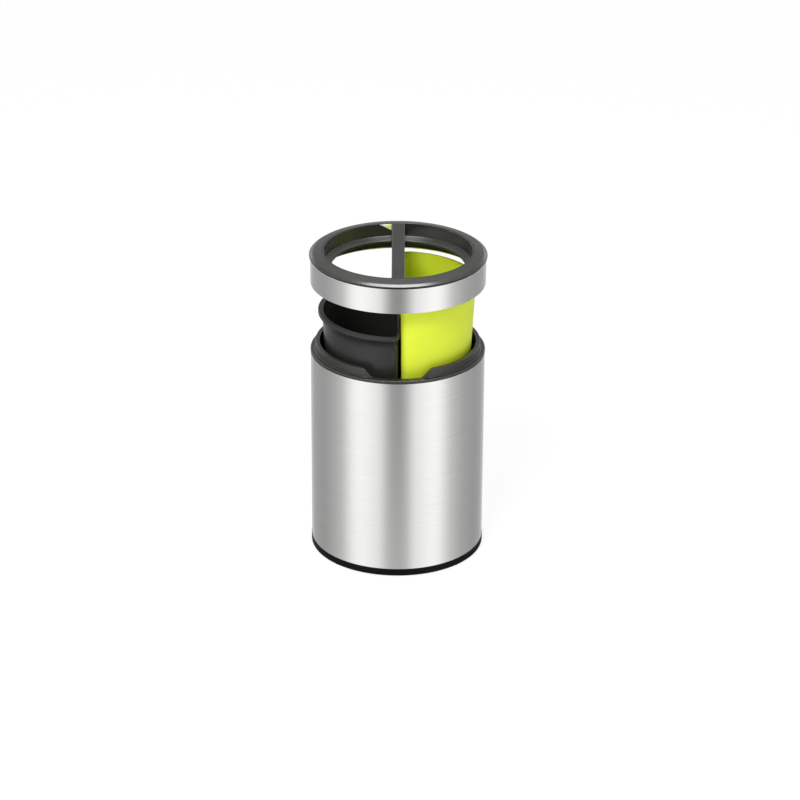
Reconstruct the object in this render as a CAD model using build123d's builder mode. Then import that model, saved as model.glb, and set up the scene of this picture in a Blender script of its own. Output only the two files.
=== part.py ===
from math import radians, tan
import os

from build123d import *

# Dual compartment bin: a round steel body, two D-shaped buckets and an open lid.
# Millimetres. +Z is up, the origin is the middle of the underside and the front faces -Y.
# The buckets and the lid stand where the photograph shows them, lifted off the body.

# Body
body_radius = 112.5
sleeve_height = 262.3
sheet = 0.7
fit_gap = 0.3

# Base moulding
base_height = 10.5
base_proud = 0.5
base_chamfer = 1.4
pad_thickness = 0.8
pad_radius = 6.0
pad_count = 4
base_rim_width = 15.0
base_wall = 2.3
base_floor = 2.6
floor_rise = 4.0
spigot_height = 15.0
rib_thickness = 2.0
rib_count = 8
hub_radius = 16.0

# Collar moulding
bead_height = 4.0
bead_proud = 0.3
bead_chamfer = 1.2
collar_wall = 2.0
flange_setback = 6.2
flange_width = 5.5
flange_height = 10.5
deck_thickness = 2.2
collar_skirt = 13.0
notch_top = 84.4
notch_bottom = 59.4
notch_round = 5.0

# Buckets
split_offset = 2.6
split_gap = 0.8
bucket_clearance = 3.6
bucket_wall = 2.0
bucket_draft = 2.0
bucket_corner = 12.5
foot_gap = 17.1
foot_chamfer = 2.0
rim_setback = 3.5
rim_height = 4.2
rim_sheet = 1.8
rim_skirt = 1.7
rim_corner = 11.7
rim_chamfer = 0.8
flat_lip = 1.7

# Lid
band_height = 33.0
band_hem = 3.0
lid_overhang = 1.5
shadow_gap = 1.4
shadow_depth = 1.9
lid_face_height = 1.8
crest_height = 5.9
crest_inset = 4.0
lip_height = 8.4
lip_chamfer = 0.6
lid_face_width = 19.0
opening_wall = 17.2
ledge_width = 9.0
ledge_drop = 4.0
ledge_lip = 2.6
lid_wall = 2.2
skirt_gap = 3.0
bar_width = 16.5
bar_step = 0.4
bar_depth = 16.5
bar_wall = 2.5
bar_corner = 6.0
bar_rib_count = 7

# How far each lifted piece stands above its seat
seat_gap = 0.2
black_lift = 39.0
green_lift = 77.0
lid_lift = 92.0

# Levels and radii worked out from the sizes above
sleeve_top = base_height + sleeve_height
bead_top = sleeve_top + bead_height
flange_top = bead_top + flange_height
spigot_outer = body_radius - sheet - fit_gap
flange_outer = body_radius - flange_setback
flange_inner = flange_outer - flange_width
floor_top = floor_rise + base_floor
rim_radius = flange_outer - rim_setback
bucket_top_radius = flange_inner - bucket_clearance
seated_rim = flange_top + seat_gap + rim_height
bucket_height = seated_rim - floor_top - foot_gap
black_rim = seated_rim + black_lift
green_rim = seated_rim + green_lift
band_bottom = bead_top + seat_gap + lid_lift

os.makedirs("parts", exist_ok=True)


def d_outline(radius, flat, corner):
    """Plan of a D: a circle of this radius cut off at x = flat, its two corners rounded."""
    with BuildSketch(mode=Mode.PRIVATE) as outline:
        Circle(radius)
        with Locations((flat, 0)):
            Rectangle(
                2 * radius, 2 * radius,
                align=(Align.MIN, Align.CENTER), mode=Mode.INTERSECT,
            )
        fillet(outline.vertices(), corner)
    return outline.sketch


# Steel sleeve, rolled from sheet, between the base and the collar
with BuildPart() as outer_shell:
    with BuildSketch(Plane.XY.offset(base_height)):
        Circle(body_radius)
        Circle(body_radius - sheet, mode=Mode.SUBTRACT)
    extrude(amount=sleeve_height)
outer_shell.part.label = "outer_shell"
export_step(outer_shell.part, "parts/outer_shell.step")

# Base moulding: a rim under the sleeve, a spigot inside it and a ribbed floor
base_radius = body_radius + base_proud
base_rim_inner = base_radius - base_rim_width
pad_circle = base_radius - base_rim_width / 2
with BuildPart() as base_moulding:
    with BuildSketch(Plane.XZ):
        with BuildLine():
            Polyline(
                (0, floor_rise),
                (base_rim_inner, floor_rise),
                (base_rim_inner, pad_thickness),
                (base_radius - base_chamfer, pad_thickness),
                (base_radius, pad_thickness + base_chamfer),
                (base_radius, base_height),
                (spigot_outer, base_height),
                (spigot_outer, base_height + spigot_height),
                (spigot_outer - base_wall, base_height + spigot_height),
                (spigot_outer - base_wall, floor_top),
                (0, floor_top),
                close=True,
            )
        make_face()
    revolve(axis=Axis.Z)
    with BuildSketch(Plane.XY.offset(pad_thickness)):
        with PolarLocations(0, rib_count):
            Rectangle(base_rim_inner + 1, rib_thickness, align=(Align.MIN, Align.CENTER))
        Circle(hub_radius)
        Circle(hub_radius - base_wall, mode=Mode.SUBTRACT)
    extrude(amount=floor_rise - pad_thickness)
base_moulding.part.label = "base_moulding"
export_step(base_moulding.part, "parts/base_moulding.step")

# Anti-slip pads bonded under the rim
with BuildPart() as foot_pads:
    with BuildSketch(Plane.XY):
        with PolarLocations(pad_circle, pad_count, start_angle=45):
            Circle(pad_radius)
    extrude(amount=pad_thickness)
foot_pads.part.label = "foot_pads"
export_step(foot_pads.part, "parts/foot_pads.step")

# Collar: a bead over the sleeve's edge, a flange that carries the buckets by their rims
collar_radius = body_radius + bead_proud
skirt_bottom = sleeve_top - collar_skirt
with BuildPart() as top_collar:
    with BuildSketch(Plane.XZ):
        with BuildLine():
            Polyline(
                (spigot_outer, sleeve_top),
                (collar_radius, sleeve_top),
                (collar_radius, bead_top - bead_chamfer),
                (collar_radius - bead_chamfer, bead_top),
                (flange_outer, bead_top),
                (flange_outer, flange_top),
                (flange_inner, flange_top),
                (flange_inner, bead_top - deck_thickness),
                (spigot_outer - collar_wall, bead_top - deck_thickness),
                (spigot_outer - collar_wall, skirt_bottom),
                (spigot_outer, skirt_bottom),
                close=True,
            )
        make_face()
    revolve(axis=Axis.Z)
    # Finger notches, front and back, to reach under the bucket rims
    with BuildSketch(Plane.XZ):
        with BuildLine():
            Polyline(
                (-notch_top, flange_top),
                (-notch_top / 2, flange_top),
                (-notch_bottom / 2, bead_top),
                (notch_bottom / 2, bead_top),
                (notch_top / 2, flange_top),
                (notch_top, flange_top),
                (notch_top, flange_top + flange_height),
                (-notch_top, flange_top + flange_height),
                close=True,
            )
        notch = make_face()
        fillet(notch.vertices().sort_by(Axis.Y)[:2], notch_round)
        fillet(
            [v for v in notch.vertices() if abs(abs(v.X) - notch_top / 2) < 0.01],
            notch_round,
        )
    extrude(amount=body_radius, both=True, mode=Mode.SUBTRACT)
top_collar.part.label = "top_collar"
export_step(top_collar.part, "parts/top_collar.step")


def d_taper(rim_top, flat, inset):
    """Solid tapered D, drawn in by inset from the bucket's outer surface."""
    with BuildPart(mode=Mode.PRIVATE) as taper:
        with BuildSketch(Plane.XY.offset(rim_top)):
            add(d_outline(bucket_top_radius - inset, flat + flat_lip + inset, bucket_corner - inset))
        extrude(amount=inset - bucket_height, taper=bucket_draft)
    return taper.part


def d_bucket(rim_top, flat):
    """Bucket with its round side toward +X and its flat side at x = flat."""
    with BuildPart() as pail:
        add(d_taper(rim_top, flat, 0))
        chamfer(pail.faces().sort_by(Axis.Z)[0].edges(), foot_chamfer)
        # Rim: a flat lip with a skirt turned down along its edge
        with BuildSketch(Plane.XY.offset(rim_top)):
            add(d_outline(rim_radius, flat, rim_corner))
        extrude(amount=-rim_sheet)
        chamfer(pail.faces().sort_by(Axis.Z)[-1].outer_wire().edges(), rim_chamfer)
        with BuildSketch(Plane.XY.offset(rim_top - rim_sheet)):
            add(d_outline(rim_radius, flat, rim_corner))
            add(
                d_outline(rim_radius - rim_skirt, flat + rim_skirt, rim_corner - rim_skirt),
                mode=Mode.SUBTRACT,
            )
        extrude(amount=rim_sheet - rim_height)
        add(d_taper(rim_top, flat, bucket_wall), mode=Mode.SUBTRACT)
    return pail.part


# The black bucket is mirrored, so that its round side is toward -X
with BuildPart() as black_bucket:
    add(mirror(d_bucket(black_rim, split_gap / 2 - split_offset), about=Plane.YZ))
black_bucket.part.label = "black_bucket"
export_step(black_bucket.part, "parts/black_bucket.step")

with BuildPart() as green_bucket:
    add(d_bucket(green_rim, split_offset + split_gap / 2))
green_bucket.part.label = "green_bucket"
export_step(green_bucket.part, "parts/green_bucket.step")

# Steel band round the lid, with a hem turned in at its top edge
band_top = band_bottom + band_height
band_hem_inner = body_radius - band_hem
with BuildPart() as lid_band:
    with BuildSketch(Plane.XZ):
        with BuildLine():
            Polyline(
                (body_radius - sheet, band_bottom),
                (body_radius, band_bottom),
                (body_radius, band_top),
                (band_hem_inner, band_top),
                (band_hem_inner, band_top - sheet),
                (body_radius - sheet, band_top - sheet),
                close=True,
            )
        make_face()
    revolve(axis=Axis.Z)
lid_band.part.label = "lid_band"
export_step(lid_band.part, "parts/lid_band.step")

# Lid moulding: a domed ring on the band, an inner wall with a sloping ledge,
# a skirt that drops over the collar's flange, and one bar across the middle
ring_radius = body_radius + lid_overhang
neck_radius = body_radius - shadow_depth
opening_radius = ring_radius - lid_face_width
face_bottom = band_top + shadow_gap
face_top = face_bottom + lid_face_height
crest = band_top + crest_height
crest_radius = ring_radius - crest_inset
lip_top = band_top + lip_height
ledge_top = lip_top - opening_wall
ledge_bottom = ledge_top - ledge_drop
ledge_inner = opening_radius - ledge_width
skirt_outer = band_hem_inner - fit_gap
with BuildPart() as lid_ring:
    with BuildSketch(Plane.XZ):
        with BuildLine():
            Polyline(
                (skirt_outer, band_top),
                (neck_radius, band_top),
                (neck_radius, face_bottom),
                (ring_radius, face_bottom),
                (ring_radius, face_top),
                (crest_radius, crest),
                (opening_radius + lip_chamfer, lip_top),
                (opening_radius, lip_top - lip_chamfer),
                (opening_radius, ledge_top),
                (ledge_inner, ledge_bottom),
                (ledge_inner, ledge_bottom - ledge_lip),
                (opening_radius + lid_wall, ledge_top - ledge_lip),
                (opening_radius + lid_wall, crest - lid_wall),
                (skirt_outer - lid_wall, crest - lid_wall),
                (skirt_outer - lid_wall, band_bottom + skirt_gap),
                (skirt_outer, band_bottom + skirt_gap),
                close=True,
            )
        make_face()
    revolve(axis=Axis.Z)
    # Bar between the two D openings, its corners flared into the ring
    bar_top = lip_top - bar_step
    with BuildSketch(Plane.XY.offset(bar_top)):
        Circle(opening_radius + lid_wall / 2)
        for side in (0, 180):
            add(
                Rot(0, 0, side) * d_outline(opening_radius, bar_width / 2, bar_corner),
                mode=Mode.SUBTRACT,
            )
    extrude(amount=-bar_depth)
    # Hollow under the bar, stiffened by cross ribs
    with BuildSketch(Plane.XY.offset(bar_top - bar_depth)):
        Rectangle(bar_width - 2 * bar_wall, 2 * ledge_inner)
        with GridLocations(0, 2 * ledge_inner / bar_rib_count, 1, bar_rib_count):
            Rectangle(bar_width, rib_thickness, mode=Mode.SUBTRACT)
    extrude(amount=bar_depth - bar_wall, mode=Mode.SUBTRACT)
lid_ring.part.label = "lid_ring"
export_step(lid_ring.part, "parts/lid_ring.step")
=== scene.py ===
import logging
import math
from dataclasses import dataclass, field
from enum import Enum

import bpy
import numpy as np
from mathutils import Matrix, Vector


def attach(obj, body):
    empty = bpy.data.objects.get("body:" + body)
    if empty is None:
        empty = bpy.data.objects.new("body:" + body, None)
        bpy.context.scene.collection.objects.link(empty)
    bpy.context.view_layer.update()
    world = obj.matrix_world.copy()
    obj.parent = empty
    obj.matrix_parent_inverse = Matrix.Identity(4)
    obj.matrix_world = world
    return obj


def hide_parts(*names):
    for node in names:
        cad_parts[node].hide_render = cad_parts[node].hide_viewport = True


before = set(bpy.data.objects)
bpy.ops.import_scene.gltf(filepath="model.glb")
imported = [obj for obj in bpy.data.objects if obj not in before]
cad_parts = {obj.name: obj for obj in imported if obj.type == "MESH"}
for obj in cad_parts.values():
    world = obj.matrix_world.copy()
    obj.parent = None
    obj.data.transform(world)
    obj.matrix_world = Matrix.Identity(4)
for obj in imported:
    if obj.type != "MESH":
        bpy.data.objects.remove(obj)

LOG = logging.getLogger("dual_compartment_bin")
MM = 0.001
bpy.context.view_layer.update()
# A linear colour, and a surface's points with its faces of four point numbers
Colour = tuple[float, float, float]
Surface = tuple[np.ndarray, np.ndarray]


class Body(Enum):
    """The moving bodies of the bin, by the names that the frame gives them."""

    BIN = "bin_body"
    BLACK = "black_bucket"
    GREEN = "green_bucket"
    LID = "lid"


class Slot(Enum):
    """The record's material slots."""

    STEEL = "steel"
    BLACK = "black_plastic"
    LIME = "lime_plastic"
    RUBBER = "rubber"


class Finish(Enum):
    """The finishes of the pieces, by the names of their materials."""

    STEEL = "brushed_steel"
    BLACK = "black_plastic"
    BLACK_BUCKET = "black_bucket_plastic"
    BASE = "base_plastic"
    LIME = "lime_plastic"
    RUBBER = "pad_rubber"
    TAG_LIME = "tag_lime"
    TAG_WHITE = "tag_white"


class Side(Enum):
    """The side of the bin that a bucket hangs on, as the sign of its X."""

    LEFT = -1
    RIGHT = 1


def rounded_outline(
    points: list[tuple[float, float, float]], steps: int = 6, support: float = 1.35,
    share: float = 0.49,
) -> np.ndarray:
    """Round the corners of a closed outline.

    Each corner C between its neighbours P and N becomes the quadratic curve
    (1-t)^2 A + 2 t (1-t) C + t^2 B, where A and B lie the corner's rounding away from C
    along its two sides. One support point beside A and one beside B keep the flats flat.
    A rounding that is too long for the corner's shorter side is cut down to fit it.

    Args:
        points: Corners as (radius from the axis, height, rounding), in millimetres.
        steps: Points along each rounded corner.
        support: Place of the support points, as a multiple of the rounding.
        share: Largest part of a side that one corner and its support may take.

    Returns:
        The rounded outline as an array of (radius, height), in millimetres.
    """
    corners = np.array(points, dtype=float)
    centre = corners[:, :2]
    before = np.roll(centre, 1, axis=0) - centre
    after = np.roll(centre, -1, axis=0) - centre
    length_before = np.linalg.norm(before, axis=1, keepdims=True)
    length_after = np.linalg.norm(after, axis=1, keepdims=True)
    limit = share * np.minimum(length_before, length_after)
    reach = np.minimum(corners[:, 2:3], limit / support)
    start = centre + before / length_before * reach
    end = centre + after / length_after * reach
    t = np.linspace(0.0, 1.0, steps)[None, :, None]
    arc = (
        (1 - t) ** 2 * start[:, None]
        + 2 * t * (1 - t) * centre[:, None]
        + t**2 * end[:, None]
    )
    lead = centre + before / length_before * reach * support
    trail = centre + after / length_after * reach * support
    rows = np.concatenate([lead[:, None], arc, trail[:, None]], axis=1)
    return rows.reshape(-1, 2)


def mesh_object(name: str, vertices: np.ndarray, quads: np.ndarray) -> bpy.types.Object:
    """Make a smooth-shaded object, turned right side out by the sign of its volume.

    The volume is one sixth of the sum of a . (b x c) over the triangles of the faces.

    Args:
        name: Name of the object and its mesh.
        vertices: Array of points, in millimetres.
        quads: Array of four point numbers for each face.

    Returns:
        The new object, linked to the scene.
    """
    corners = vertices[quads]
    one = np.einsum("ij,ij->i", corners[:, 0], np.cross(corners[:, 1], corners[:, 2]))
    two = np.einsum("ij,ij->i", corners[:, 0], np.cross(corners[:, 2], corners[:, 3]))
    if (one + two).sum() < 0:
        quads = quads[:, ::-1]
    mesh = bpy.data.meshes.new(name)
    mesh.from_pydata((vertices * MM).tolist(), [], quads.tolist())
    mesh.validate()
    mesh.update()
    mesh.polygons.foreach_set("use_smooth", np.ones(len(mesh.polygons), dtype=bool))
    made = bpy.data.objects.new(name, mesh)
    bpy.context.scene.collection.objects.link(made)
    return made


def grid_faces(rows: int, columns: int, wrap_rows: bool, wrap_columns: bool) -> np.ndarray:
    """Number the four corners of each face of a grid.

    The point in row i and column j has the number i * columns + j.

    Args:
        rows: Points in the first direction.
        columns: Points in the second direction.
        wrap_rows: Whether the last row joins the first.
        wrap_columns: Whether the last column joins the first.

    Returns:
        An array of four point numbers for each face.
    """
    row = np.arange(rows if wrap_rows else rows - 1)[:, None]
    column = np.arange(columns if wrap_columns else columns - 1)[None, :]
    next_row = (row + 1) % rows
    next_column = (column + 1) % columns
    faces = [
        row * columns + column,
        row * columns + next_column,
        next_row * columns + next_column,
        next_row * columns + column,
    ]
    return np.stack(faces, axis=-1).reshape(-1, 4)


def turned(outline: np.ndarray, segments: int = 320) -> Surface:
    """Turn a closed outline about the Z axis: (r cos a, r sin a, z) for each angle a.

    Args:
        outline: Array of (radius, height), in millimetres.
        segments: Steps round the axis.

    Returns:
        The points and the faces of the closed surface.
    """
    angle = np.linspace(0.0, 2 * np.pi, segments, endpoint=False)[:, None]
    radius, height = outline[None, :, 0], outline[None, :, 1]
    points = np.stack(
        [radius * np.cos(angle), radius * np.sin(angle), height + 0 * angle], axis=-1
    )
    return points.reshape(-1, 3), grid_faces(segments, len(outline), True, True)


def joined(parts: list[Surface]) -> Surface:
    """Put several surfaces into one set of points and faces.

    Args:
        parts: Pairs of points and faces.

    Returns:
        All points, and all faces with their point numbers moved on.
    """
    starts = np.cumsum([0] + [len(points) for points, _ in parts[:-1]])
    points = np.concatenate([points for points, _ in parts])
    faces = np.concatenate([faces + start for (_, faces), start in zip(parts, starts)])
    return points, faces


def d_plan(
    radius: np.ndarray, flat: np.ndarray, corner: np.ndarray,
    round_points: int = 96, corner_points: int = 10, flat_points: int = 28,
) -> np.ndarray:
    """Points round a D: an arc about the origin, a flat at x = flat and rounded corners.

    The corner's centre lies at (flat + corner, +-h) with h^2 = (radius - corner)^2 -
    (flat + corner)^2, so that the rounding touches the arc and the flat.

    Args:
        radius: Radius of the round side, one value for each row, in millimetres.
        flat: Place of the flat side on X, one value for each row.
        corner: Radius of the two corners, one value for each row.
        round_points: Points along the round side.
        corner_points: Points along each corner.
        flat_points: Points along the flat side.

    Returns:
        An array of rows, points and (x, y), in millimetres.
    """
    radius, flat, corner = (np.asarray(v, dtype=float)[:, None] for v in (radius, flat, corner))
    middle_x = flat + corner
    middle_y = np.sqrt((radius - corner) ** 2 - middle_x**2)
    turn = np.arctan2(middle_y, middle_x)
    sweep = np.linspace(-1.0, 1.0, round_points)[None, :] * turn
    arc = np.stack([radius * np.cos(sweep), radius * np.sin(sweep)], axis=-1)
    step = np.linspace(0.0, 1.0, corner_points + 2)[None, 1:-1]
    upper = turn + step * (np.pi - turn)
    top = np.stack(
        [middle_x + corner * np.cos(upper), middle_y + corner * np.sin(upper)], axis=-1
    )
    drop = np.linspace(1.0, -1.0, flat_points)[None, :]
    side = np.stack([flat + 0 * drop, middle_y * drop], axis=-1)
    lower = np.pi + step * (np.pi - turn)
    bottom = np.stack(
        [middle_x + corner * np.cos(lower), -middle_y + corner * np.sin(lower)], axis=-1
    )
    return np.concatenate([arc, top, side, bottom], axis=1)


class NodeGroups:
    """Shader effects that several finishes share, each built once."""

    @staticmethod
    def _new(name: str, inputs: dict[str, float], outputs: list[str]) -> bpy.types.NodeTree:
        """Start a node group with float inputs and outputs.

        Args:
            name: Name of the group.
            inputs: Input names and their default values.
            outputs: Output names.

        Returns:
            The group, with its input and output nodes in place.
        """
        tree = bpy.data.node_groups.new(name, "ShaderNodeTree")
        for key, value in inputs.items():
            made = tree.interface.new_socket(key, in_out="INPUT", socket_type="NodeSocketFloat")
            made.default_value = value
        for key in outputs:
            tree.interface.new_socket(key, in_out="OUTPUT", socket_type="NodeSocketFloat")
        tree.nodes.new("NodeGroupInput").name = "In"
        tree.nodes.new("NodeGroupOutput").name = "Out"
        return tree

    @classmethod
    def moulded_grain(cls) -> bpy.types.NodeTree:
        """Make the fine spark-eroded grain of moulded plastic on a slow unevenness.

        Returns:
            The group. Height is the relief, and Patches the unevenness from 0 to 1.
        """
        tree = cls._new("moulded_grain", {"Scale": 1400.0, "Waviness": 0.35}, ["Height", "Patches"])
        nodes, links = tree.nodes, tree.links
        place = nodes.new("ShaderNodeTexCoord")
        fine = nodes.new("ShaderNodeTexNoise")
        fine.inputs["Detail"].default_value = 3.0
        slow = nodes.new("ShaderNodeTexNoise")
        slow.inputs["Scale"].default_value = 26.0
        slow.inputs["Detail"].default_value = 2.0
        scaled = nodes.new("ShaderNodeMath")
        scaled.operation = "MULTIPLY"
        total = nodes.new("ShaderNodeMath")
        total.operation = "ADD"
        links.new(place.outputs["Object"], fine.inputs["Vector"])
        links.new(place.outputs["Object"], slow.inputs["Vector"])
        links.new(nodes["In"].outputs["Scale"], fine.inputs["Scale"])
        links.new(slow.outputs["Fac"], scaled.inputs[0])
        links.new(nodes["In"].outputs["Waviness"], scaled.inputs[1])
        links.new(fine.outputs["Fac"], total.inputs[0])
        links.new(scaled.outputs[0], total.inputs[1])
        links.new(total.outputs[0], nodes["Out"].inputs["Height"])
        links.new(slow.outputs["Fac"], nodes["Out"].inputs["Patches"])
        return tree

    @classmethod
    def brush_lines(cls) -> bpy.types.NodeTree:
        """Make the hair lines of brushed sheet: noise stretched along X and Y.

        Returns:
            The group. Height is the relief, and Streaks the lines from 0 to 1.
        """
        tree = cls._new("brush_lines", {"Lines": 2600.0, "Length": 9.0}, ["Height", "Streaks"])
        nodes, links = tree.nodes, tree.links
        place = nodes.new("ShaderNodeTexCoord")
        split = nodes.new("ShaderNodeSeparateXYZ")
        stretched = nodes.new("ShaderNodeCombineXYZ")
        fine = nodes.new("ShaderNodeTexNoise")
        fine.inputs["Scale"].default_value = 1.0
        fine.inputs["Detail"].default_value = 4.0
        fine.inputs["Roughness"].default_value = 0.65
        links.new(place.outputs["Object"], split.inputs[0])
        for axis, amount in (("X", "Length"), ("Y", "Length"), ("Z", "Lines")):
            scaled = nodes.new("ShaderNodeMath")
            scaled.operation = "MULTIPLY"
            links.new(split.outputs[axis], scaled.inputs[0])
            links.new(nodes["In"].outputs[amount], scaled.inputs[1])
            links.new(scaled.outputs[0], stretched.inputs[axis])
        links.new(stretched.outputs[0], fine.inputs["Vector"])
        links.new(fine.outputs["Fac"], nodes["Out"].inputs["Height"])
        links.new(fine.outputs["Fac"], nodes["Out"].inputs["Streaks"])
        return tree


def ramp(nodes: bpy.types.Nodes, stops: list[tuple[float, Colour]]) -> bpy.types.Node:
    """Make a colour ramp.

    Args:
        nodes: Node collection that the ramp goes into.
        stops: Pairs of place, from 0 to 1, and linear colour.

    Returns:
        The colour ramp node.
    """
    made = nodes.new("ShaderNodeValToRGB")
    elements = made.color_ramp.elements
    while len(elements) > 1:
        elements.remove(elements[-1])
    elements[0].position = stops[0][0]
    elements[0].color = (*stops[0][1], 1.0)
    for place, colour in stops[1:]:
        elements.new(place).color = (*colour, 1.0)
    return made


def textured(
    name: str, effect: bpy.types.NodeTree, mask: str, stops: list[tuple[float, Colour]],
    roughness: tuple[float, float], bump: tuple[float, float],
) -> tuple[bpy.types.Material, bpy.types.Node]:
    """Make a material whose colour, roughness and relief follow one shared effect.

    Args:
        name: Name of the material.
        effect: The shared node group.
        mask: The group's output that colour and roughness follow.
        stops: Pairs of mask value and linear colour.
        roughness: Roughness where the mask is 0 and where it is 1.
        bump: Strength of the relief, and its height in metres.

    Returns:
        The material and its shader.
    """
    made = bpy.data.materials.new(name)
    made.use_nodes = True
    nodes, links = made.node_tree.nodes, made.node_tree.links
    shader = nodes["Principled BSDF"]
    pattern = nodes.new("ShaderNodeGroup")
    pattern.node_tree = effect
    shades = ramp(nodes, stops)
    links.new(pattern.outputs[mask], shades.inputs["Fac"])
    links.new(shades.outputs["Color"], shader.inputs["Base Color"])
    rough = nodes.new("ShaderNodeMapRange")
    rough.inputs["To Min"].default_value, rough.inputs["To Max"].default_value = roughness
    links.new(pattern.outputs[mask], rough.inputs["Value"])
    links.new(rough.outputs["Result"], shader.inputs["Roughness"])
    relief = nodes.new("ShaderNodeBump")
    relief.inputs["Strength"].default_value, relief.inputs["Distance"].default_value = bump
    links.new(pattern.outputs["Height"], relief.inputs["Height"])
    links.new(relief.outputs["Normal"], shader.inputs["Normal"])
    return made, shader


@dataclass(frozen=True)
class BrushedSteel:
    """Stainless sheet, brushed round the cylinder."""

    kind: Finish = Finish.STEEL
    tint: Colour = (0.86, 0.86, 0.85)
    variation: tuple[float, float] = (0.93, 1.05)
    roughness: tuple[float, float] = (0.15, 0.25)
    bump: tuple[float, float] = (0.06, 0.05 * MM)

    def material(self, groups: dict[str, bpy.types.NodeTree]) -> bpy.types.Material:
        """Build the material.

        Args:
            groups: The shared node groups, by name.

        Returns:
            The finished material.
        """
        darker, lighter = self.variation
        stops = [
            (0.3, tuple(v * darker for v in self.tint)),
            (0.7, tuple(min(1.0, v * lighter) for v in self.tint)),
        ]
        made, shader = textured(
            self.kind.value, groups["brush_lines"], "Streaks", stops, self.roughness, self.bump
        )
        shader.inputs["Metallic"].default_value = 1.0
        return made


@dataclass(frozen=True)
class MouldedPlastic:
    """Satin moulded polypropylene of one colour."""

    kind: Finish
    colour: Colour
    roughness: float = 0.42
    spread: float = 0.05
    variation: float = 0.06
    grain: float = 0.12
    grain_height: float = 0.08 * MM
    specular: float = 0.5

    def material(self, groups: dict[str, bpy.types.NodeTree]) -> bpy.types.Material:
        """Build the material.

        Args:
            groups: The shared node groups, by name.

        Returns:
            The finished material.
        """
        stops = [
            (0.35, tuple(v * (1 - self.variation) for v in self.colour)),
            (0.65, tuple(min(1.0, v * (1 + self.variation)) for v in self.colour)),
        ]
        roughness = (self.roughness - self.spread, self.roughness + self.spread)
        made, shader = textured(
            self.kind.value, groups["moulded_grain"], "Patches", stops, roughness,
            (self.grain, self.grain_height),
        )
        shader.inputs["Specular IOR Level"].default_value = self.specular
        return made


@dataclass
class Finishes:
    """All finishes of the bin."""

    groups: dict[str, bpy.types.NodeTree] = field(default_factory=dict)
    made: dict[Finish, bpy.types.Material] = field(default_factory=dict)

    def build(self) -> None:
        """Build the shared groups and every material."""
        self.groups["moulded_grain"] = NodeGroups.moulded_grain()
        self.groups["brush_lines"] = NodeGroups.brush_lines()
        finishes = [
            BrushedSteel(),
            MouldedPlastic(Finish.BLACK, (0.024, 0.024, 0.022), roughness=0.26),
            MouldedPlastic(
                Finish.BLACK_BUCKET, (0.022, 0.022, 0.021), roughness=0.3, specular=0.36
            ),
            MouldedPlastic(Finish.BASE, (0.002, 0.002, 0.002), roughness=0.5, specular=0.1),
            MouldedPlastic(
                Finish.LIME, (0.64, 0.745, 0.035), roughness=0.5, variation=0.015, specular=0.25
            ),
            MouldedPlastic(Finish.RUBBER, (0.03, 0.03, 0.03), roughness=0.8, grain=0.3),
            MouldedPlastic(Finish.TAG_LIME, (0.85, 0.93, 0.03), roughness=0.35, variation=0.01),
            MouldedPlastic(Finish.TAG_WHITE, (0.85, 0.85, 0.84), roughness=0.35, variation=0.01),
        ]
        for finish in finishes:
            self.made[finish.kind] = finish.material(self.groups)

    def dress(
        self, piece: bpy.types.Object, finish: Finish, slot: Slot, body: Body, *nodes: str
    ) -> None:
        """Give a piece its material and body, and hide the nodes that it stands for.

        Args:
            piece: The finished piece.
            finish: The finish of the piece.
            slot: The record's material slot. Not used.
            body: The body that the piece rides on.
            nodes: CAD nodes that the piece replaces.
        """
        piece.data.materials.clear()
        piece.data.materials.append(self.made[finish])
        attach(piece, body.value)
        if nodes:
            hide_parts(*nodes)
        LOG.info("%s: %d faces", piece.name, len(piece.data.polygons))


@dataclass
class SteelBody:
    """The rolled sleeve between the base and the collar."""

    radius: float = 112.5
    bottom: float = 10.5
    top: float = 272.8
    sheet: float = 0.7
    edge: float = 0.2
    segments: int = 384

    def outline(self) -> np.ndarray:
        """Section of the sheet, with softened edges.

        Returns:
            Points as (radius, height), in millimetres.
        """
        return rounded_outline([
            (self.radius - self.sheet, self.bottom, self.edge),
            (self.radius, self.bottom, self.edge),
            (self.radius, self.top, self.edge),
            (self.radius - self.sheet, self.top, self.edge),
        ])

    def build(self, finishes: Finishes) -> None:
        """Make and dress the sleeve.

        Args:
            finishes: The finishes of the bin.
        """
        piece = mesh_object("outer_shell_surface", *turned(self.outline(), self.segments))
        finishes.dress(piece, Finish.STEEL, Slot.STEEL, Body.BIN, "outer_shell")


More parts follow.
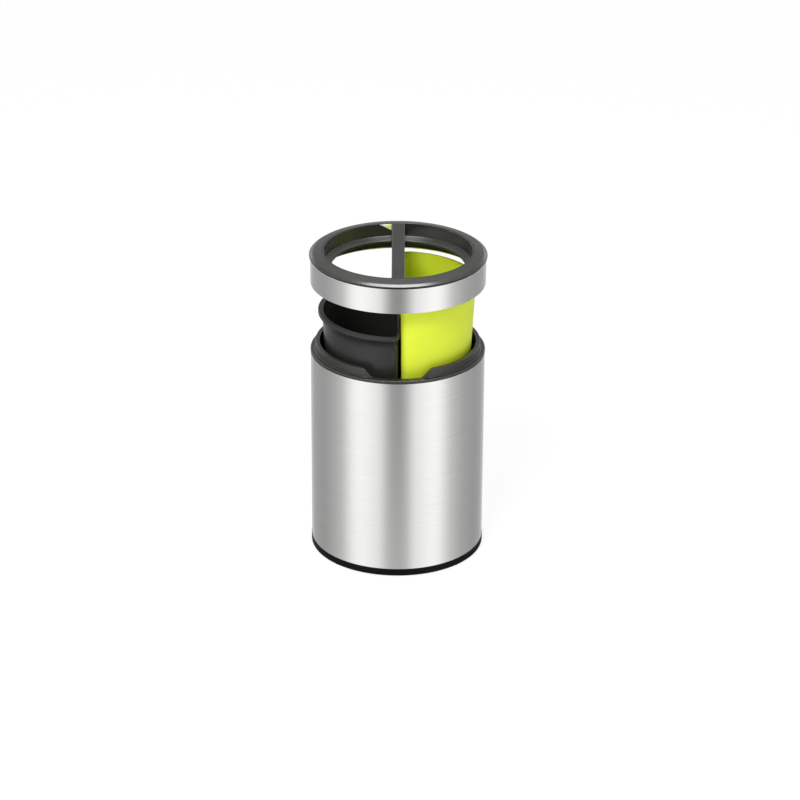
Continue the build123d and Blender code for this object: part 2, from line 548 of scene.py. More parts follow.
@dataclass
class BaseMoulding:
    """The black base: a rounded rim, a spigot in the sleeve, a ribbed floor and pads."""

    radius: float = 113.0
    stand: float = 0.8
    height: float = 10.5
    rim_inner: float = 98.0
    floor_bottom: float = 4.0
    floor_top: float = 6.6
    spigot: float = 111.5
    spigot_top: float = 25.5
    wall: float = 2.3
    edge: float = 1.8
    rib: float = 2.0
    rib_count: int = 8
    rib_bottom: float = 1.0
    rib_top: float = 4.5
    rib_overlap: float = 0.5
    hub: float = 16.0
    pad_circle: float = 105.5
    pad_radius: float = 6.0
    pad_top: float = 0.8
    pad_count: int = 4

    def outline(self) -> np.ndarray:
        """Section of the rim, floor and spigot, closed near the axis.

        Returns:
            Points as (radius, height), in millimetres.
        """
        return rounded_outline([
            (0.01, self.floor_bottom, 0.0001),
            (self.rim_inner, self.floor_bottom, 0.2),
            (self.rim_inner, self.stand, 0.3),
            (self.radius, self.stand, self.edge),
            (self.radius, self.height, 0.5),
            (self.spigot, self.height, 0.2),
            (self.spigot, self.spigot_top, 0.4),
            (self.spigot - self.wall, self.spigot_top, 0.4),
            (self.spigot - self.wall, self.floor_top, 1.0),
            (0.01, self.floor_top, 0.0001),
        ])

    def ribs(self) -> Surface:
        """Ribs under the floor: one rounded bar, turned about the axis by equal steps.

        Returns:
            The points and the faces of the ribs and of the hub that they meet in.
        """
        section = rounded_outline([
            (-self.rib / 2, self.rib_bottom, 0.3),
            (self.rib / 2, self.rib_bottom, 0.3),
            (self.rib / 2, self.rib_top, 0.1),
            (-self.rib / 2, self.rib_top, 0.1),
        ], steps=4)
        along = np.array([self.hub - self.wall, self.rim_inner + self.rib_overlap])[:, None]
        bar = np.stack([
            along + 0 * section[None, :, 0],
            section[None, :, 0] + 0 * along,
            section[None, :, 1] + 0 * along,
        ], axis=-1).reshape(-1, 3)
        angle = np.arange(self.rib_count) * 2 * np.pi / self.rib_count
        faces = grid_faces(2, len(section), False, True)
        parts = []
        for turn in angle:
            cos, sin = math.cos(turn), math.sin(turn)
            spun = bar @ np.array([[cos, sin, 0], [-sin, cos, 0], [0, 0, 1]])
            parts.append((spun, faces))
        hub = rounded_outline([
            (self.hub - self.wall, self.rib_bottom, 0.3),
            (self.hub, self.rib_bottom, 0.3),
            (self.hub, self.rib_top, 0.1),
            (self.hub - self.wall, self.rib_top, 0.1),
        ], steps=4)
        return joined([*parts, turned(hub, 64)])

    def pads(self) -> Surface:
        """Round pads under the rim, each a turned disc moved out to its place.

        Returns:
            The points and the faces of the pads.
        """
        disc, faces = turned(rounded_outline([
            (0.01, 0.0, 0.0001),
            (self.pad_radius, 0.0, 0.3),
            (self.pad_radius, self.pad_top, 0.1),
            (0.01, self.pad_top, 0.0001),
        ]), 48)
        angles = np.pi / 4 + np.arange(self.pad_count) * 2 * np.pi / self.pad_count
        places = self.pad_circle * np.stack([np.cos(angles), np.sin(angles), 0 * angles], axis=-1)
        return joined([(disc + place, faces) for place in places])

    def build(self, finishes: Finishes) -> None:
        """Make and dress the base and its pads.

        Args:
            finishes: The finishes of the bin.
        """
        base = mesh_object("base_surface", *joined([turned(self.outline()), self.ribs()]))
        finishes.dress(base, Finish.BASE, Slot.BLACK, Body.BIN, "base_moulding")
        pads = mesh_object("foot_pad_surface", *self.pads())
        finishes.dress(pads, Finish.RUBBER, Slot.RUBBER, Body.BIN, "foot_pads")


@dataclass
class TopCollar:
    """The black collar: a bead on the sleeve and a flange with two finger notches."""

    bead_radius: float = 112.8
    bead_bottom: float = 272.8
    bead_top: float = 276.8
    bead_edge: float = 1.9
    flange_outer: float = 106.3
    flange_lean: float = 0.8
    flange_inner: float = 100.8
    flange_top: float = 287.3
    flange_edge: float = 0.9
    skirt: float = 111.5
    skirt_bottom: float = 259.8
    wall: float = 2.0
    deck: float = 2.2
    notch_top: float = 84.4
    notch_bottom: float = 59.4
    notch_soft: float = 2.2
    notch_sink: float = 1.6
    notch_least: float = 0.02
    segments: int = 720

    def outline(self) -> np.ndarray:
        """Section of the collar: bead, flange and the skirt inside the sleeve.

        Returns:
            Points as (radius, height), in millimetres.
        """
        return rounded_outline([
            (self.skirt, self.bead_bottom, 0.1),
            (self.bead_radius, self.bead_bottom, 0.3),
            (self.bead_radius, self.bead_top, self.bead_edge),
            (self.flange_outer + self.flange_lean, self.bead_top, 0.8),
            (self.flange_outer, self.flange_top, self.flange_edge),
            (self.flange_inner, self.flange_top, self.flange_edge),
            (self.flange_inner, self.bead_top - self.deck, 0.3),
            (self.skirt - self.wall, self.bead_top - self.deck, 0.3),
            (self.skirt - self.wall, self.skirt_bottom, 0.3),
            (self.skirt, self.skirt_bottom, 0.3),
        ], steps=7)

    def notched(self, points: np.ndarray) -> np.ndarray:
        """Lower the flange at the front and the back.

        Above the bead, height is scaled by a factor that falls from 1 to 0 between half
        the notch's top width and half its bottom width, and sinks a little where the
        factor is small. The factor is the mean of a clipped ramp over a short window,
        which rounds the ramp's two corners.

        Args:
            points: Points of the turned collar, in millimetres.

        Returns:
            The same points with the notches.
        """
        across = np.abs(points[:, 0])
        high, low = self.notch_top / 2, self.notch_bottom / 2
        window = np.linspace(-self.notch_soft, self.notch_soft, 9)[None, :]
        ramped = np.clip((across[:, None] + window - low) / (high - low), 0.0, 1.0)
        factor = ramped.mean(axis=1)
        above = points[:, 2] > self.bead_top
        sunk = self.bead_top - self.notch_sink * (1 - factor)
        height = sunk + (points[:, 2] - self.bead_top) * np.maximum(factor, self.notch_least)
        points[:, 2] = np.where(above, height, points[:, 2])
        return points

    def build(self, finishes: Finishes) -> None:
        """Make and dress the collar.

        Args:
            finishes: The finishes of the bin.
        """
        points, faces = turned(self.outline(), self.segments)
        piece = mesh_object("top_collar_surface", self.notched(points), faces)
        finishes.dress(piece, Finish.BLACK, Slot.BLACK, Body.BIN, "top_collar")


@dataclass
class Bucket:
    """A D-shaped bucket with a tapered wall, a rounded foot and a turned-down rim."""

    name: str
    node: str
    finish: Finish
    slot: Slot
    body: Body
    rim_top: float
    flat: float
    side: Side
    height: float = 268.0
    wall: float = 1.4
    top_radius: float = 97.6
    draft: float = 3.0
    flat_draft: float = 0.6
    corner: float = 11.0
    foot_round: float = 4.0
    rim_radius: float = 102.8
    rim_height: float = 4.2
    rim_sheet: float = 1.8
    rim_skirt: float = 1.7
    rim_inside: float = 2.4
    flat_lip: float = 1.2
    least_corner: float = 1.5
    foot_gap: float = 3.0
    rim_gap: float = 0.4
    wall_steps: int = 12
    foot_steps: int = 10
    rim_steps: int = 7
    closing_shares: tuple[float, ...] = (0.0005, 0.3, 0.7, 0.97)

    def rows(self) -> np.ndarray:
        """Rows of the surface as (radius, flat, corner, height, shrink).

        The rows go from the middle of the underside up the outer wall, round the rim
        and down the inner wall to the middle of the bottom. Shrink draws the outermost
        and innermost rows to a point, which closes the bottom.

        Returns:
            An array with one line for each row.
        """
        slope = math.tan(math.radians(self.draft))
        flat_slope = math.tan(math.radians(self.flat_draft))
        foot = self.rim_top - self.height

        def wall_rows(inset: float, heights: np.ndarray, tuck: np.ndarray) -> np.ndarray:
            """Rows on a wall that leans in by its draft, from the rim down.

            The radius is the top radius less the inset, the depth under the rim times
            the tangent of the draft, and the tuck. The flat moves the other way.

            Args:
                inset: How far the wall is drawn in, in millimetres.
                heights: Height of each row.
                tuck: How far each row is drawn in further, near the foot.

            Returns:
                One line for each row.
            """
            depth = self.rim_top - heights
            radius = self.top_radius - inset - depth * slope - tuck
            flat = self.flat + self.flat_lip + inset + depth * flat_slope + tuck
            corner = self.corner - inset - tuck - depth * flat_slope
            corner = np.maximum(corner, self.least_corner)
            return np.stack([radius, flat, corner, heights, 1 + 0 * depth], axis=1)

        def foot_rows(inset: float) -> np.ndarray:
            """The rounded foot: a quarter circle of the foot's radius, from the bottom up.

            Args:
                inset: How far the wall is drawn in, in millimetres.

            Returns:
                One line for each row.
            """
            turn = np.linspace(0.0, np.pi / 2, self.foot_steps)
            size = self.foot_round - inset
            heights = foot + inset + size * (1 - np.cos(turn))
            return wall_rows(inset, heights, size * (1 - np.sin(turn)))

        def closing(row: np.ndarray) -> np.ndarray:
            """Rows that shrink a bottom row to a point.

            Args:
                row: The row to repeat.

            Returns:
                One line for each share of the row's size.
            """
            rows = np.repeat(row[None, :], len(self.closing_shares), axis=0)
            rows[:, 4] = self.closing_shares
            return rows

        outer_foot, inner_foot = foot_rows(0.0), foot_rows(self.wall)
        straight = np.zeros(self.wall_steps)
        low = foot + self.foot_round + self.foot_gap
        under = self.rim_top - self.rim_sheet
        inside = self.rim_top - self.rim_inside - self.rim_gap
        outer = wall_rows(0.0, np.linspace(low, under, self.wall_steps), straight)
        inner = wall_rows(self.wall, np.linspace(inside, low, self.wall_steps), straight)
        lip = self.rim_outline()
        return np.concatenate([
            closing(outer_foot[0]), outer_foot, outer, lip, inner,
            inner_foot[::-1], closing(inner_foot[0])[::-1],
        ])

    def rim_outline(self) -> np.ndarray:
        """Rim rows, from under the lip, round its skirt and edge, to the inner wall.

        The section is drawn as a closed outline and then opened between its last corner
        and its first, of which only the point that leads on to the lip stays.

        Returns:
            An array with one line for each row.
        """
        reach = self.rim_radius - self.top_radius
        corner_points = self.rim_steps + 2
        section = rounded_outline([
            (self.rim_gap, self.rim_top - self.rim_sheet, 0.2),
            (reach - self.rim_skirt, self.rim_top - self.rim_sheet, 0.4),
            (reach - self.rim_skirt, self.rim_top - self.rim_height, 0.3),
            (reach, self.rim_top - self.rim_height, 0.4),
            (reach, self.rim_top, 1.3),
            (-self.wall, self.rim_top, 1.0),
            (-self.wall - 0.1, self.rim_top - self.rim_inside, 0.01),
            (-self.wall - 0.1, self.rim_top - self.rim_inside - 0.1, 0.01),
        ], steps=self.rim_steps)[corner_points - 1 : -corner_points - 1]
        out, height = section[:, 0], section[:, 1]
        share = np.clip(out / reach, -1.0, 1.0)
        flat_out = np.where(out > 0, share * self.flat_lip, out)
        return np.stack([
            self.top_radius + out,
            self.flat + self.flat_lip - flat_out,
            self.corner + flat_out,
            height,
            1 + 0 * out,
        ], axis=1)

    def build(self, finishes: Finishes) -> None:
        """Make and dress the bucket.

        Each row's plan is drawn towards its own middle by the row's shrink.

        Args:
            finishes: The finishes of the bin.
        """
        rows = self.rows()
        plan = d_plan(rows[:, 0], rows[:, 1], rows[:, 2])
        middle = plan.mean(axis=1, keepdims=True)
        plan = middle + (plan - middle) * rows[:, 4][:, None, None]
        height = rows[:, 3][:, None] + 0 * plan[:, :, 0]
        points = np.stack([self.side.value * plan[:, :, 0], plan[:, :, 1], height], axis=-1)
        faces = grid_faces(points.shape[0], points.shape[1], False, True)
        piece = mesh_object(self.name, points.reshape(-1, 3), faces)
        finishes.dress(piece, self.finish, self.slot, self.body, self.node)


@dataclass
class Lid:
    """The lid: a steel band under a black ring with a divider bar across it."""

    bottom: float = 369.0
    radius: float = 112.5
    band_height: float = 33.0
    band_hem: float = 3.0
    sheet: float = 0.7
    ring_radius: float = 114.0
    shadow_gap: float = 2.2
    neck: float = 110.6
    face_height: float = 1.0
    crest: float = 6.1
    shoulder: float = 4.2
    lip: float = 8.4
    lip_width: float = 3.0
    roof: float = 5.4
    opening: float = 95.0
    ledge_outer: float = 94.6
    ledge_inner: float = 86.0
    opening_wall: float = 17.2
    ledge_drop: float = 4.0
    ledge_lip: float = 2.6
    wall: float = 2.2
    skirt_inner: float = 107.0
    skirt_outer: float = 109.2
    skirt_gap: float = 3.0
    bar_width: float = 16.5
    bar_step: float = 0.15
    bar_depth: float = 16.5
    bar_overlap: float = 0.6
    bar_flare: float = 2.2
    bar_flare_lead: float = 1.2
    bar_flare_most: float = 0.98
    bar_wall: float = 2.5
    bar_rib: float = 2.0
    bar_rib_count: int = 7
    bar_rib_inset: float = 0.6
    bar_rib_overlap: float = 0.1
    segments: int = 384

    def band_outline(self) -> np.ndarray:
        """Section of the steel band, turned in at its top edge.

        Returns:
            Points as (radius, height), in millimetres.
        """
        inner, back, top = self.radius - self.band_hem, self.radius - self.sheet, self.top
        return rounded_outline([
            (back, self.bottom, 0.2),
            (self.radius, self.bottom, 0.2),
            (self.radius, top, 0.5),
            (inner, top, 0.1),
            (inner, top - self.sheet, 0.1),
            (back, top - self.sheet, 0.1),
        ])

    @property
    def top(self) -> float:
        """Height of the band's upper edge."""
        return self.bottom + self.band_height

    def ring_outline(self) -> np.ndarray:
        """Section of the black ring: overhang, shoulder, inner wall, ledge and skirt.

        Returns:
            Points as (radius, height), in millimetres.
        """
        face_bottom = self.top + self.shadow_gap
        lip_top = self.top + self.lip
        ledge_top = lip_top - self.opening_wall
        ledge_bottom = ledge_top - self.ledge_drop
        return rounded_outline([
            (self.opening, lip_top, 0.7),
            (self.ledge_outer, ledge_top, 0.8),
            (self.ledge_inner, ledge_bottom, 0.6),
            (self.ledge_inner, ledge_bottom - self.ledge_lip, 0.4),
            (self.ledge_outer + self.wall, ledge_top - self.ledge_lip, 0.3),
            (self.opening + self.wall, self.top + self.roof - self.wall, 0.3),
            (self.skirt_inner, self.top + self.roof - self.wall, 0.3),
            (self.skirt_inner, self.bottom + self.skirt_gap, 0.4),
            (self.skirt_outer, self.bottom + self.skirt_gap, 0.4),
            (self.skirt_outer, self.top, 0.1),
            (self.neck, self.top, 0.1),
            (self.neck, face_bottom, 0.1),
            (self.ring_radius, face_bottom, 0.3),
            (self.ring_radius, face_bottom + self.face_height, 0.5),
            (self.ring_radius - self.shoulder, self.top + self.crest, 1.6),
            (self.opening + self.lip_width, lip_top, 2.4),
        ], steps=8)

    def bar(self) -> Surface:
        """The divider bar, an upturned channel carried along Y.

        Its half width is constant in the middle and grows near both ends by
        f - sqrt(f^2 - d^2), with f the flare's radius and d the way past its start.

        Returns:
            The points and the faces of the bar.
        """
        top = self.top + self.lip - self.bar_step
        low = top - self.bar_depth
        half, wall = self.bar_width / 2, self.bar_wall
        section = rounded_outline([
            (-half, low, 0.4),
            (-half, top, 0.9),
            (half, top, 0.9),
            (half, low, 0.4),
            (half - wall, low, 0.4),
            (half - wall, top - wall, 0.4),
            (wall - half, top - wall, 0.4),
            (wall - half, low, 0.4),
        ], steps=6)
        reach = self.opening + self.bar_overlap
        start = reach - self.bar_flare - self.bar_flare_lead
        ends = np.linspace(0.0, 1.0, 14)
        past = np.concatenate([-np.ones(1), ends])
        along = start + np.clip(past, 0, 1) * (reach - start)
        along[0] = 0.0
        along = np.concatenate([-along[::-1], along[1:]])
        over = np.clip(np.abs(along) - start, 0.0, self.bar_flare * self.bar_flare_most)
        flare = self.bar_flare - np.sqrt(self.bar_flare**2 - over**2)
        across = section[None, :, 0] + np.sign(section[None, :, 0]) * flare[:, None]
        points = np.stack(
            [across, along[:, None] + 0 * across, section[None, :, 1] + 0 * across], axis=-1
        )
        return points.reshape(-1, 3), grid_faces(len(along), len(section), False, True)

    def bar_ribs(self) -> Surface:
        """Cross ribs inside the channel under the bar, at equal steps along Y.

        Returns:
            The points and the faces of the ribs.
        """
        top = self.top + self.lip - self.bar_step
        inside = self.bar_wall - self.bar_rib_overlap
        half, low = self.bar_width / 2 - inside, top - self.bar_depth + self.bar_rib_inset
        section = rounded_outline([
            (-self.bar_rib / 2, low, 0.3),
            (self.bar_rib / 2, low, 0.3),
            (self.bar_rib / 2, top - inside, 0.1),
            (-self.bar_rib / 2, top - inside, 0.1),
        ], steps=4)
        across = np.array([-half, half])[:, None]
        one = np.stack(
            [across + 0 * section[None, :, 0], section[None, :, 0] + 0 * across,
             section[None, :, 1] + 0 * across], axis=-1
        ).reshape(-1, 3)
        faces = grid_faces(2, len(section), False, True)
        step = 2 * self.ledge_inner / self.bar_rib_count
        places = (np.arange(self.bar_rib_count) - self.bar_rib_count // 2) * step
        return joined([(one + np.array([0.0, place, 0.0]), faces) for place in places])

    def build(self, finishes: Finishes) -> None:
        """Make and dress the band and the ring with its bar.

        Args:
            finishes: The finishes of the bin.
        """
        band = mesh_object("lid_band_surface", *turned(self.band_outline(), self.segments))
        finishes.dress(band, Finish.STEEL, Slot.STEEL, Body.LID, "lid_band")
        parts = [turned(self.ring_outline(), self.segments), self.bar(), self.bar_ribs()]
        ring = mesh_object("lid_ring_surface", *joined(parts))
        finishes.dress(ring, Finish.BLACK, Slot.BLACK, Body.LID, "lid_ring")


@dataclass
class Tag:
    """A plain lime pennant with a white edge, on the ring's inner wall behind the bar."""

    wall_radius: float = 94.7
    top: float = 409.4
    centre: float = -8.0
    half_width: float = 16.5
    drop: float = 9.0
    field_share: float = 0.7
    edge_stand: float = 0.25
    field_stand: float = 0.4
    taper: float = 0.98
    thickness: float = 0.1
    rows: int = 12
    columns: int = 24

    def sheet_points(self, share: float, stand: float) -> np.ndarray:
        """Points of a triangle wrapped on the wall, shrunk about its inscribed circle.

        A row at share v down the pennant spans (1 - v) of its width, and each point at x
        lies on the wall at y = sqrt(r^2 - x^2). The inscribed circle's radius is the area
        divided by half the perimeter, so the border left by a smaller copy is even.

        Args:
            share: Size of the copy, from 0 to 1.
            stand: How far the points stand off the wall, in millimetres.

        Returns:
            A grid of points, in millimetres.
        """
        side = math.hypot(self.half_width, self.drop)
        inscribed = self.half_width * self.drop / (self.half_width + side)
        down = np.linspace(0.0, 1.0, self.rows)[:, None]
        across = np.linspace(-1.0, 1.0, self.columns)[None, :]
        x = self.centre + share * across * self.half_width * (1 - self.taper * down)
        z = self.top - inscribed - share * (down * self.drop - inscribed)
        return np.stack([x, np.sqrt((self.wall_radius - stand) ** 2 - x**2), z + 0 * x], axis=-1)

    def build(self, finishes: Finishes) -> None:
        """Make and dress the pennant and its edge.

        Args:
            finishes: The finishes of the bin.
        """
        faces = grid_faces(self.rows, self.columns, False, False)
        for name, finish, share, stand in (
            ("tag_edge", Finish.TAG_WHITE, 1.0, self.edge_stand),
            ("tag_field", Finish.TAG_LIME, self.field_share, self.field_stand),
        ):
            points = self.sheet_points(share, stand).reshape(-1, 3)
            piece = mesh_object(name, points, faces)
            solid = piece.modifiers.new("thickness", "SOLIDIFY")
            solid.thickness = self.thickness * MM
            solid.offset = 0.0
            finishes.dress(piece, finish, Slot.LIME, Body.LID)


@dataclass
class RoomNodes:
    """Node tree of the room, with short ways to add value and colour nodes to it.

    The mix node has sockets of the same name for each kind of data, so its colour
    sockets go by their places.
    """

    nodes: bpy.types.Nodes
    links: bpy.types.NodeLinks
    mix_first: int = 6
    mix_second: int = 7
    mix_result: int = 2

    def level(
        self, source: bpy.types.NodeSocket, reach: tuple[float, float],
        values: tuple[float, float] = (0.0, 1.0),
    ) -> bpy.types.NodeSocket:
        """Add a clamped linear map of a value.

        Args:
            source: The value to map.
            reach: Source values at which the result starts and stops changing.
            values: Results at these two.

        Returns:
            The mapped value.
        """
        made = self.nodes.new("ShaderNodeMapRange")
        made.inputs["From Min"].default_value, made.inputs["From Max"].default_value = reach
        made.inputs["To Min"].default_value, made.inputs["To Max"].default_value = values
        self.links.new(source, made.inputs["Value"])
        return made.outputs["Result"]

    def worked(
        self, operation: str, first: bpy.types.NodeSocket, second: bpy.types.NodeSocket | float
    ) -> bpy.types.NodeSocket:
        """Add one math operation.

        Args:
            operation: Name of the operation, such as MULTIPLY.
            first: The first value.
            second: The second value, or a number.

        Returns:
            The result.
        """
        made = self.nodes.new("ShaderNodeMath")
        made.operation = operation
        self.links.new(first, made.inputs[0])
        if isinstance(second, float):
            made.inputs[1].default_value = second
        else:
            self.links.new(second, made.inputs[1])
        return made.outputs[0]

    def shades(
        self, source: bpy.types.NodeSocket, stops: tuple[tuple[float, float], ...]
    ) -> bpy.types.NodeSocket:
        """Add a ramp of greys.

        Args:
            source: The value at which the ramp is read.
            stops: Pairs of place, from 0 to 1, and linear grey.

        Returns:
            The grey as a colour.
        """
        made = ramp(self.nodes, [(spot, (grey, grey, grey)) for spot, grey in stops])
        self.links.new(source, made.inputs["Fac"])
        return made.outputs["Color"]

    def mixed(
        self, share: bpy.types.NodeSocket, first: bpy.types.NodeSocket,
        second: bpy.types.NodeSocket,
    ) -> bpy.types.NodeSocket:
        """Add a mix of two colours.

        Args:
            share: 0 for the first colour, 1 for the second.
            first: The first colour.
            second: The second colour.

        Returns:
            The mixed colour.
        """
        made = self.nodes.new("ShaderNodeMix")
        made.data_type = "RGBA"
        self.links.new(share, made.inputs["Factor"])
        self.links.new(first, made.inputs[self.mix_first])
        self.links.new(second, made.inputs[self.mix_second])
        return made.outputs[self.mix_result]

    def chosen(
        self, share: bpy.types.NodeSocket, first: bpy.types.Node, second: bpy.types.Node
    ) -> bpy.types.Node:
        """Add a mix of two backgrounds.

        Args:
            share: 0 for the first background, 1 for the second.
            first: Node of the first background.
            second: Node of the second background.

        Returns:
            The mixing node.
        """
        made = self.nodes.new("ShaderNodeMixShader")
        self.links.new(share, made.inputs[0])
        self.links.new(first.outputs[0], made.inputs[1])
        self.links.new(second.outputs[0], made.inputs[2])
        return made


@dataclass
class Room:
    """The white room round the object, with the soft boxes that its surfaces mirror.

    Each reach, rise and edge field is a pair of values of a unit direction, between
    which a part of the room fades in: of its X for the sky's two sides, of its Y for the
    ceiling box's edge, and of its Z for the rest.
    """

    horizon_light: float = 0.1
    ceiling_light: float = 1.3
    light_reach: tuple[float, float] = (-0.1, 1.0)
    band_reach: tuple[float, float] = (-0.415, -0.47)
    sky_reach: tuple[float, float] = (0.03, 0.13)
    side_reach: tuple[float, float] = (0.1, 0.34)
    box_rise: tuple[float, float] = (0.92, 0.96)
    box_edge: tuple[float, float] = (0.24, 0.08)
    box_gain: float = 25.0
    sky_back: tuple[tuple[float, float], ...] = (
        (0.0, 0.25), (0.3, 0.3), (0.46, 0.4), (0.6, 0.9), (0.72, 1.3), (0.85, 1.2), (0.95, 0.8),
    )
    sky_sides: tuple[tuple[float, float], ...] = (
        (0.05, 0.5), (0.13, 1.9), (0.24, 1.9), (0.4, 0.6), (0.6, 0.6), (0.72, 1.1),
        (0.85, 1.1), (0.95, 0.8),
    )

    @staticmethod
    def stops(dark: float, edge: float, peak: float) -> tuple[tuple[float, float], ...]:
        """Brightness of the room round the object: two soft boxes and a dark gap.

        Args:
            dark: Linear level of the gap behind the camera.
            edge: Linear level at both sides.
            peak: Linear level of the two soft boxes.

        Returns:
            Pairs of direction, as a share of a full turn from the back, and grey.
        """
        soft = 0.8 * peak
        levels = [
            (-180, 0.75), (-162, 0.62), (-147, 0.4), (-115, edge), (-95, 0.43), (-78, 0.56),
            (-62, 0.9 * peak), (-50, peak), (-24, soft + 0.03), (-16, 0.62), (-8, dark + 0.03),
            (5, dark), (13, 0.53), (22, soft), (47, peak), (57, 0.97 * peak), (76, 0.6),
            (98, 0.41), (125, edge), (147, 0.4), (162, 0.62), (180, 0.75),
        ]
        return tuple(((180 + angle) / 360, level) for angle, level in levels)

    def build(self) -> None:
        """Build the world: one white for the camera, soft light, and the mirrored boxes."""
        world = bpy.data.worlds.new("room")
        bpy.context.scene.world = world
        world.use_nodes = True
        nodes, links = world.node_tree.nodes, world.node_tree.links
        nodes.clear()
        out = nodes.new("ShaderNodeOutputWorld")
        plain, seen, mirrored = (nodes.new("ShaderNodeBackground") for _ in range(3))
        plain.inputs["Color"].default_value = (1, 1, 1, 1)
        seen.inputs["Color"].default_value = (1, 1, 1, 1)
        place = nodes.new("ShaderNodeTexCoord")
        split = nodes.new("ShaderNodeSeparateXYZ")
        path = nodes.new("ShaderNodeLightPath")
        links.new(place.outputs["Generated"], split.inputs[0])
        across, along, height = (split.outputs[axis] for axis in "XYZ")
        tree = RoomNodes(nodes, links)
        light = (self.horizon_light, self.ceiling_light)
        links.new(tree.level(height, self.light_reach, light), plain.inputs["Strength"])
        turn = tree.worked("ARCTAN2", across, tree.worked("MULTIPLY", along, -1.0))
        round_share = tree.level(turn, (-math.pi, math.pi))
        bands = tree.mixed(
            tree.level(height, self.band_reach),
            tree.shades(round_share, self.stops(dark=0.21, edge=0.355, peak=1.16)),
            tree.shades(round_share, self.stops(dark=0.6, edge=0.33, peak=1.02)),
        )
        sky = tree.mixed(
            tree.level(tree.worked("ABSOLUTE", across, 0.0), self.side_reach),
            tree.shades(height, self.sky_back),
            tree.shades(height, self.sky_sides),
        )
        box = tree.worked(
            "MULTIPLY", tree.level(height, self.box_rise), tree.level(along, self.box_edge)
        )
        colour = tree.mixed(tree.level(height, self.sky_reach), bands, sky)
        links.new(colour, mirrored.inputs["Color"])
        links.new(tree.level(box, (0.0, 1.0), (1.0, self.box_gain)), mirrored.inputs["Strength"])
        around = tree.chosen(path.outputs["Is Glossy Ray"], plain, mirrored)
        view = tree.chosen(path.outputs["Is Camera Ray"], around, seen)
        links.new(view.outputs[0], out.inputs["Surface"])


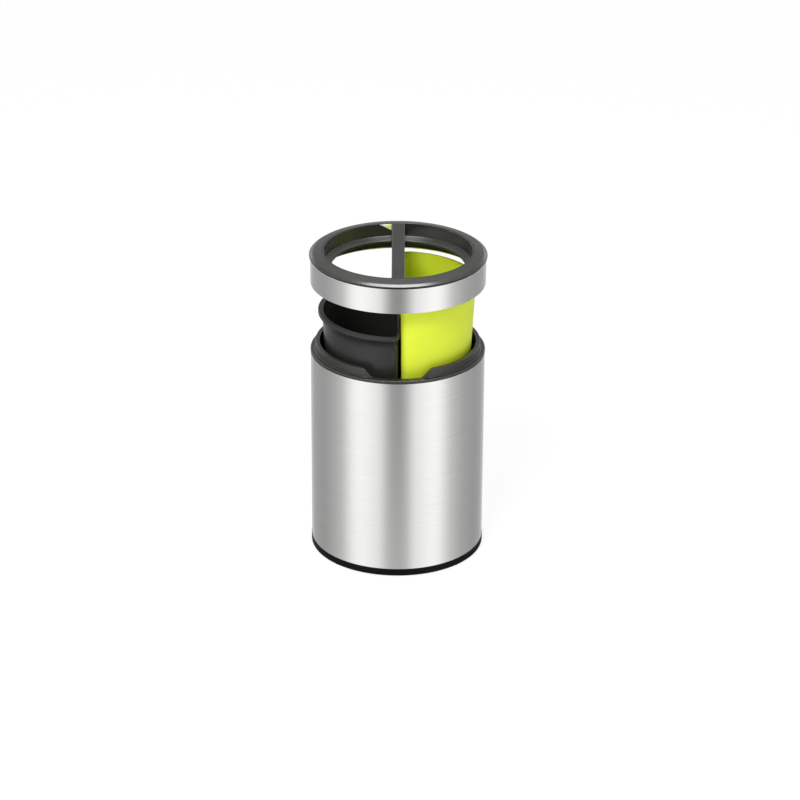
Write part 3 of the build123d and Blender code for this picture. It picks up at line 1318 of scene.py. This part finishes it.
@dataclass
class Studio:
    """Camera, floor and lamps."""

    image: int = 800
    sensor: float = 36.0
    distance: float = 4.0
    target_height: float = 0.15
    elevation: float = 25.03
    roll: float = 0.29
    pixels_per_mm: float = 0.763
    target_x: float = 397.34
    target_y: float = 435.02
    floor_size: float = 12.0
    floor_white: float = 0.8
    lamp_aim: tuple[float, float, float] = (0.0, 0.0, 0.2)

    def camera(self) -> None:
        """Set the camera at the photograph's angle, distance and framing."""
        data = bpy.data.cameras.new("camera")
        made = bpy.data.objects.new("camera", data)
        bpy.context.scene.collection.objects.link(made)
        focal_pixels = self.pixels_per_mm * self.distance / MM
        data.sensor_width = self.sensor
        data.lens = focal_pixels / self.image * self.sensor
        data.shift_x = (self.image / 2 - self.target_x) / self.image
        data.shift_y = (self.target_y - self.image / 2) / self.image
        data.clip_end = 50.0
        rise = math.radians(self.elevation)
        back = Vector((0.0, -math.cos(rise), math.sin(rise)))
        look = (-back).to_track_quat("-Z", "Y").to_matrix().to_4x4()
        place = Matrix.Translation(Vector((0, 0, self.target_height)) + back * self.distance)
        made.matrix_world = place @ look @ Matrix.Rotation(math.radians(self.roll), 4, "Z")
        bpy.context.scene.camera = made

    def floor(self) -> None:
        """Lay a pale floor, close to the white of the room, that keeps the shadow."""
        size = self.floor_size
        mesh = bpy.data.meshes.new("floor")
        corners = [(-size, -size, 0), (size, -size, 0), (size, size, 0), (-size, size, 0)]
        mesh.from_pydata(corners, [], [(0, 1, 2, 3)])
        made = bpy.data.objects.new("floor", mesh)
        bpy.context.scene.collection.objects.link(made)
        material = bpy.data.materials.new("pale_floor")
        material.use_nodes = True
        nodes, links = material.node_tree.nodes, material.node_tree.links
        shader = nodes["Principled BSDF"]
        shader.inputs["Base Color"].default_value = (0.95, 0.95, 0.95, 1)
        shader.inputs["Roughness"].default_value = 0.9
        shader.inputs["Specular IOR Level"].default_value = 0.0
        glow = nodes.new("ShaderNodeEmission")
        path = nodes.new("ShaderNodeLightPath")
        part = nodes.new("ShaderNodeMath")
        part.operation = "MULTIPLY"
        part.inputs[1].default_value = self.floor_white
        mix = nodes.new("ShaderNodeMixShader")
        links.new(path.outputs["Is Camera Ray"], part.inputs[0])
        links.new(part.outputs[0], mix.inputs[0])
        links.new(shader.outputs[0], mix.inputs[1])
        links.new(glow.outputs[0], mix.inputs[2])
        links.new(mix.outputs[0], nodes["Material Output"].inputs["Surface"])
        mesh.materials.append(material)
        made.visible_glossy = False

    def lamp(
        self, name: str, place: tuple[float, float, float], size: float, power: float
    ) -> None:
        """Add a soft square lamp aimed at the object.

        Args:
            name: Name of the lamp.
            place: Where it stands, in metres.
            size: Length of its side, in metres.
            power: Power in watts.
        """
        data = bpy.data.lights.new(name, "AREA")
        data.shape = "SQUARE"
        data.size = size
        data.energy = power
        made = bpy.data.objects.new(name, data)
        made.location = place
        aim = Vector(self.lamp_aim) - Vector(place)
        made.rotation_mode = "QUATERNION"
        made.rotation_quaternion = aim.to_track_quat("-Z", "Y")
        made.visible_camera = False
        made.visible_glossy = False
        bpy.context.scene.collection.objects.link(made)

    def build(self) -> None:
        """Set up the camera, the floor and the lamps."""
        self.camera()
        self.floor()
        self.lamp("key", place=(-0.5, -1.3, 2.0), size=0.7, power=30.0)
        self.lamp("fill", place=(1.6, -1.2, 1.3), size=1.2, power=2.0)
        bpy.context.scene.view_settings.view_transform = "Standard"


def main() -> None:
    """Build every piece of the bin and the studio round it."""
    logging.basicConfig(level=logging.INFO, format="%(name)s %(message)s")
    finishes = Finishes()
    finishes.build()
    SteelBody().build(finishes)
    BaseMoulding().build(finishes)
    TopCollar().build(finishes)
    Bucket(
        "black_bucket_surface", "black_bucket", Finish.BLACK_BUCKET, Slot.BLACK, Body.BLACK,
        rim_top=330.7, flat=-2.2, side=Side.LEFT,
    ).build(finishes)
    Bucket(
        "green_bucket_surface", "green_bucket", Finish.LIME, Slot.LIME, Body.GREEN,
        rim_top=368.7, flat=3.0, side=Side.RIGHT, top_radius=99.8, draft=3.2, flat_lip=0.4,
    ).build(finishes)
    Lid().build(finishes)
    Tag().build(finishes)
    Room().build()
    Studio().build()


if __name__ == "__main__":
    main()
